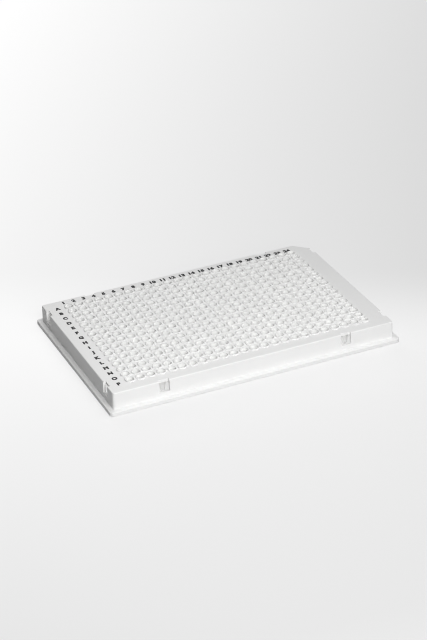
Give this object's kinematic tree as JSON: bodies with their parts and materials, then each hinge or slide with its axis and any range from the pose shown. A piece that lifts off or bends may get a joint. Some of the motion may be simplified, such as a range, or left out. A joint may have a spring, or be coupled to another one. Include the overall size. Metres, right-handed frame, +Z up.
{
  "type": "well plate",
  "caption": "Skirted laboratory well plate with a grid of small conical wells, a cut corner and windows in its skirt, moulded in one piece.",
  "frame": {"origin": "centre of the foot, in the plane the plate stands on", "axes": "+X along the rows from column 1 to column 24, +Y from row P to row A, +Z up out of the wells"},
  "size_m": [0.1278, 0.0854, 0.0096],
  "materials": {
    "plate_plastic": "satin white polypropylene",
    "grid_ink": "flat black print"
  },
  "bodies": {
    "root": {"well_plate": "plate_plastic"}
  },
  "joints": []
}
